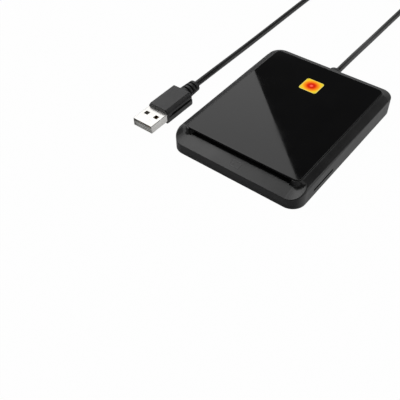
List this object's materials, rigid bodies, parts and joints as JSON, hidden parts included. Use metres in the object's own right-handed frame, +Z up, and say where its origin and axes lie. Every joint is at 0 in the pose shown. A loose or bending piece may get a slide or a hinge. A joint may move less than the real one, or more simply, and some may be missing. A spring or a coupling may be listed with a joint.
{
  "type": "smart card reader",
  "caption": "Flat desktop card reader with a card slot under its glossy top, a side slot for small cards, a lit window and a corded plug.",
  "frame": {"origin": "centre of the reader's footprint on the desk, measured without the cord, its gland and its plug", "axes": "+X to the right seen from the card slot, +Y from the card slot to the cord, +Z up"},
  "size_m": [0.097, 0.2413, 0.0122],
  "materials": {
    "case_plastic": "black satin moulded plastic, fine grain",
    "case_base_plastic": "black satin moulded plastic",
    "panel_acrylic": "black high gloss acrylic",
    "window_amber": "translucent amber, lit from below",
    "diffuser": "milky translucent plastic",
    "board_green": "green solder resist",
    "connector_plastic": "cream glass-filled plastic",
    "contact_gold": "gold-plated spring bronze",
    "component_black": "black moulded package",
    "switch_white": "white moulded plastic",
    "sheet_steel": "tinned sheet steel",
    "led_package": "clear lamp package",
    "wire_sleeve": "coloured wire insulation",
    "screw_steel": "zinc-plated steel",
    "foot_rubber": "black rubber",
    "cord_jacket": "black flexible jacket, slight sheen",
    "plug_moulding": "black moulded grip",
    "shell_nickel": "bright nickel-plated steel",
    "tongue_white": "white insulator"
  },
  "bodies": {
    "reader": {"top_case": "case_plastic", "bottom_case": "case_base_plastic", "top_panel": "panel_acrylic", "indicator_window": "window_amber", "light_pipe": "diffuser", "circuit_board": "board_green", "card_connector": "connector_plastic", "contact_tails": "contact_gold", "card_switch": "component_black", "small_card_base": "connector_plastic", "small_card_cover": "sheet_steel", "controller_chip": "component_black", "crystal": "sheet_steel", "indicator_led": "led_package", "chip_resistors": "component_black", "cord_header": "connector_plastic", "cord_housing": "connector_plastic", "signal_wires": "wire_sleeve", "case_screws": "screw_steel", "foot_front_left": "foot_rubber", "foot_front_right": "foot_rubber", "foot_back_left": "foot_rubber", "foot_back_right": "foot_rubber", "cord_gland": "plug_moulding", "cord_near": "cord_jacket", "cord_coil": "cord_jacket", "cord_far": "cord_jacket", "plug_grip": "plug_moulding", "plug_shell": "shell_nickel", "plug_tongue": "tongue_white", "plug_pins": "contact_gold"},
    "card_spring_1": {"card_contact_1": "contact_gold"},
    "card_spring_2": {"card_contact_2": "contact_gold"},
    "card_spring_3": {"card_contact_3": "contact_gold"},
    "card_spring_4": {"card_contact_4": "contact_gold"},
    "card_spring_5": {"card_contact_5": "contact_gold"},
    "card_spring_6": {"card_contact_6": "contact_gold"},
    "card_spring_7": {"card_contact_7": "contact_gold"},
    "card_spring_8": {"card_contact_8": "contact_gold"},
    "small_spring_1": {"small_contact_1": "contact_gold"},
    "small_spring_2": {"small_contact_2": "contact_gold"},
    "small_spring_3": {"small_contact_3": "contact_gold"},
    "small_spring_4": {"small_contact_4": "contact_gold"},
    "small_spring_5": {"small_contact_5": "contact_gold"},
    "small_spring_6": {"small_contact_6": "contact_gold"},
    "plunger": {"switch_plunger": "switch_white"}
  },
  "joints": [
    {"name": "card_contact_1_press", "type": "hinge", "parent": "reader", "child": "card_spring_1", "pos_m": [-0.00692, -0.00877, 0.0071], "axis": [1, 0, 0], "range_deg": [-5, 0], "stiffness_Nm_per_rad": 0.024},
    {"name": "card_contact_2_press", "type": "hinge", "parent": "reader", "child": "card_spring_2", "pos_m": [-0.00438, -0.00877, 0.0071], "axis": [1, 0, 0], "range_deg": [-5, 0], "stiffness_Nm_per_rad": 0.024},
    {"name": "card_contact_3_press", "type": "hinge", "parent": "reader", "child": "card_spring_3", "pos_m": [-0.00184, -0.00877, 0.0071], "axis": [1, 0, 0], "range_deg": [-5, 0], "stiffness_Nm_per_rad": 0.024},
    {"name": "card_contact_4_press", "type": "hinge", "parent": "reader", "child": "card_spring_4", "pos_m": [0.0007, -0.00877, 0.0071], "axis": [1, 0, 0], "range_deg": [-5, 0], "stiffness_Nm_per_rad": 0.024},
    {"name": "card_contact_5_press", "type": "hinge", "parent": "reader", "child": "card_spring_5", "pos_m": [-0.00692, -0.00115, 0.0071], "axis": [1, 0, 0], "range_deg": [-5, 0], "stiffness_Nm_per_rad": 0.024},
    {"name": "card_contact_6_press", "type": "hinge", "parent": "reader", "child": "card_spring_6", "pos_m": [-0.00438, -0.00115, 0.0071], "axis": [1, 0, 0], "range_deg": [-5, 0], "stiffness_Nm_per_rad": 0.024},
    {"name": "card_contact_7_press", "type": "hinge", "parent": "reader", "child": "card_spring_7", "pos_m": [-0.00184, -0.00115, 0.0071], "axis": [1, 0, 0], "range_deg": [-5, 0], "stiffness_Nm_per_rad": 0.024},
    {"name": "card_contact_8_press", "type": "hinge", "parent": "reader", "child": "card_spring_8", "pos_m": [0.0007, -0.00115, 0.0071], "axis": [1, 0, 0], "range_deg": [-5, 0], "stiffness_Nm_per_rad": 0.024},
    {"name": "small_contact_1_press", "type": "hinge", "parent": "reader", "child": "small_spring_1", "pos_m": [0.0251, -0.02654, 0.00485], "axis": [0, 1, 0], "range_deg": [0, 5], "stiffness_Nm_per_rad": 0.014},
    {"name": "small_contact_2_press", "type": "hinge", "parent": "reader", "child": "small_spring_2", "pos_m": [0.0251, -0.024, 0.00485], "axis": [0, 1, 0], "range_deg": [0, 5], "stiffness_Nm_per_rad": 0.014},
    {"name": "small_contact_3_press", "type": "hinge", "parent": "reader", "child": "small_spring_3", "pos_m": [0.0251, -0.02146, 0.00485], "axis": [0, 1, 0], "range_deg": [0, 5], "stiffness_Nm_per_rad": 0.014},
    {"name": "small_contact_4_press", "type": "hinge", "parent": "reader", "child": "small_spring_4", "pos_m": [0.01748, -0.02654, 0.00485], "axis": [0, 1, 0], "range_deg": [0, 5], "stiffness_Nm_per_rad": 0.014},
    {"name": "small_contact_5_press", "type": "hinge", "parent": "reader", "child": "small_spring_5", "pos_m": [0.01748, -0.024, 0.00485], "axis": [0, 1, 0], "range_deg": [0, 5], "stiffness_Nm_per_rad": 0.014},
    {"name": "small_contact_6_press", "type": "hinge", "parent": "reader", "child": "small_spring_6", "pos_m": [0.01748, -0.02146, 0.00485], "axis": [0, 1, 0], "range_deg": [0, 5], "stiffness_Nm_per_rad": 0.014},
    {"name": "card_switch_press", "type": "slide", "parent": "reader", "child": "plunger", "axis": [0, 1, 0], "range_m": [0, 0.0007], "stiffness_N_per_m": 430}
  ]
}
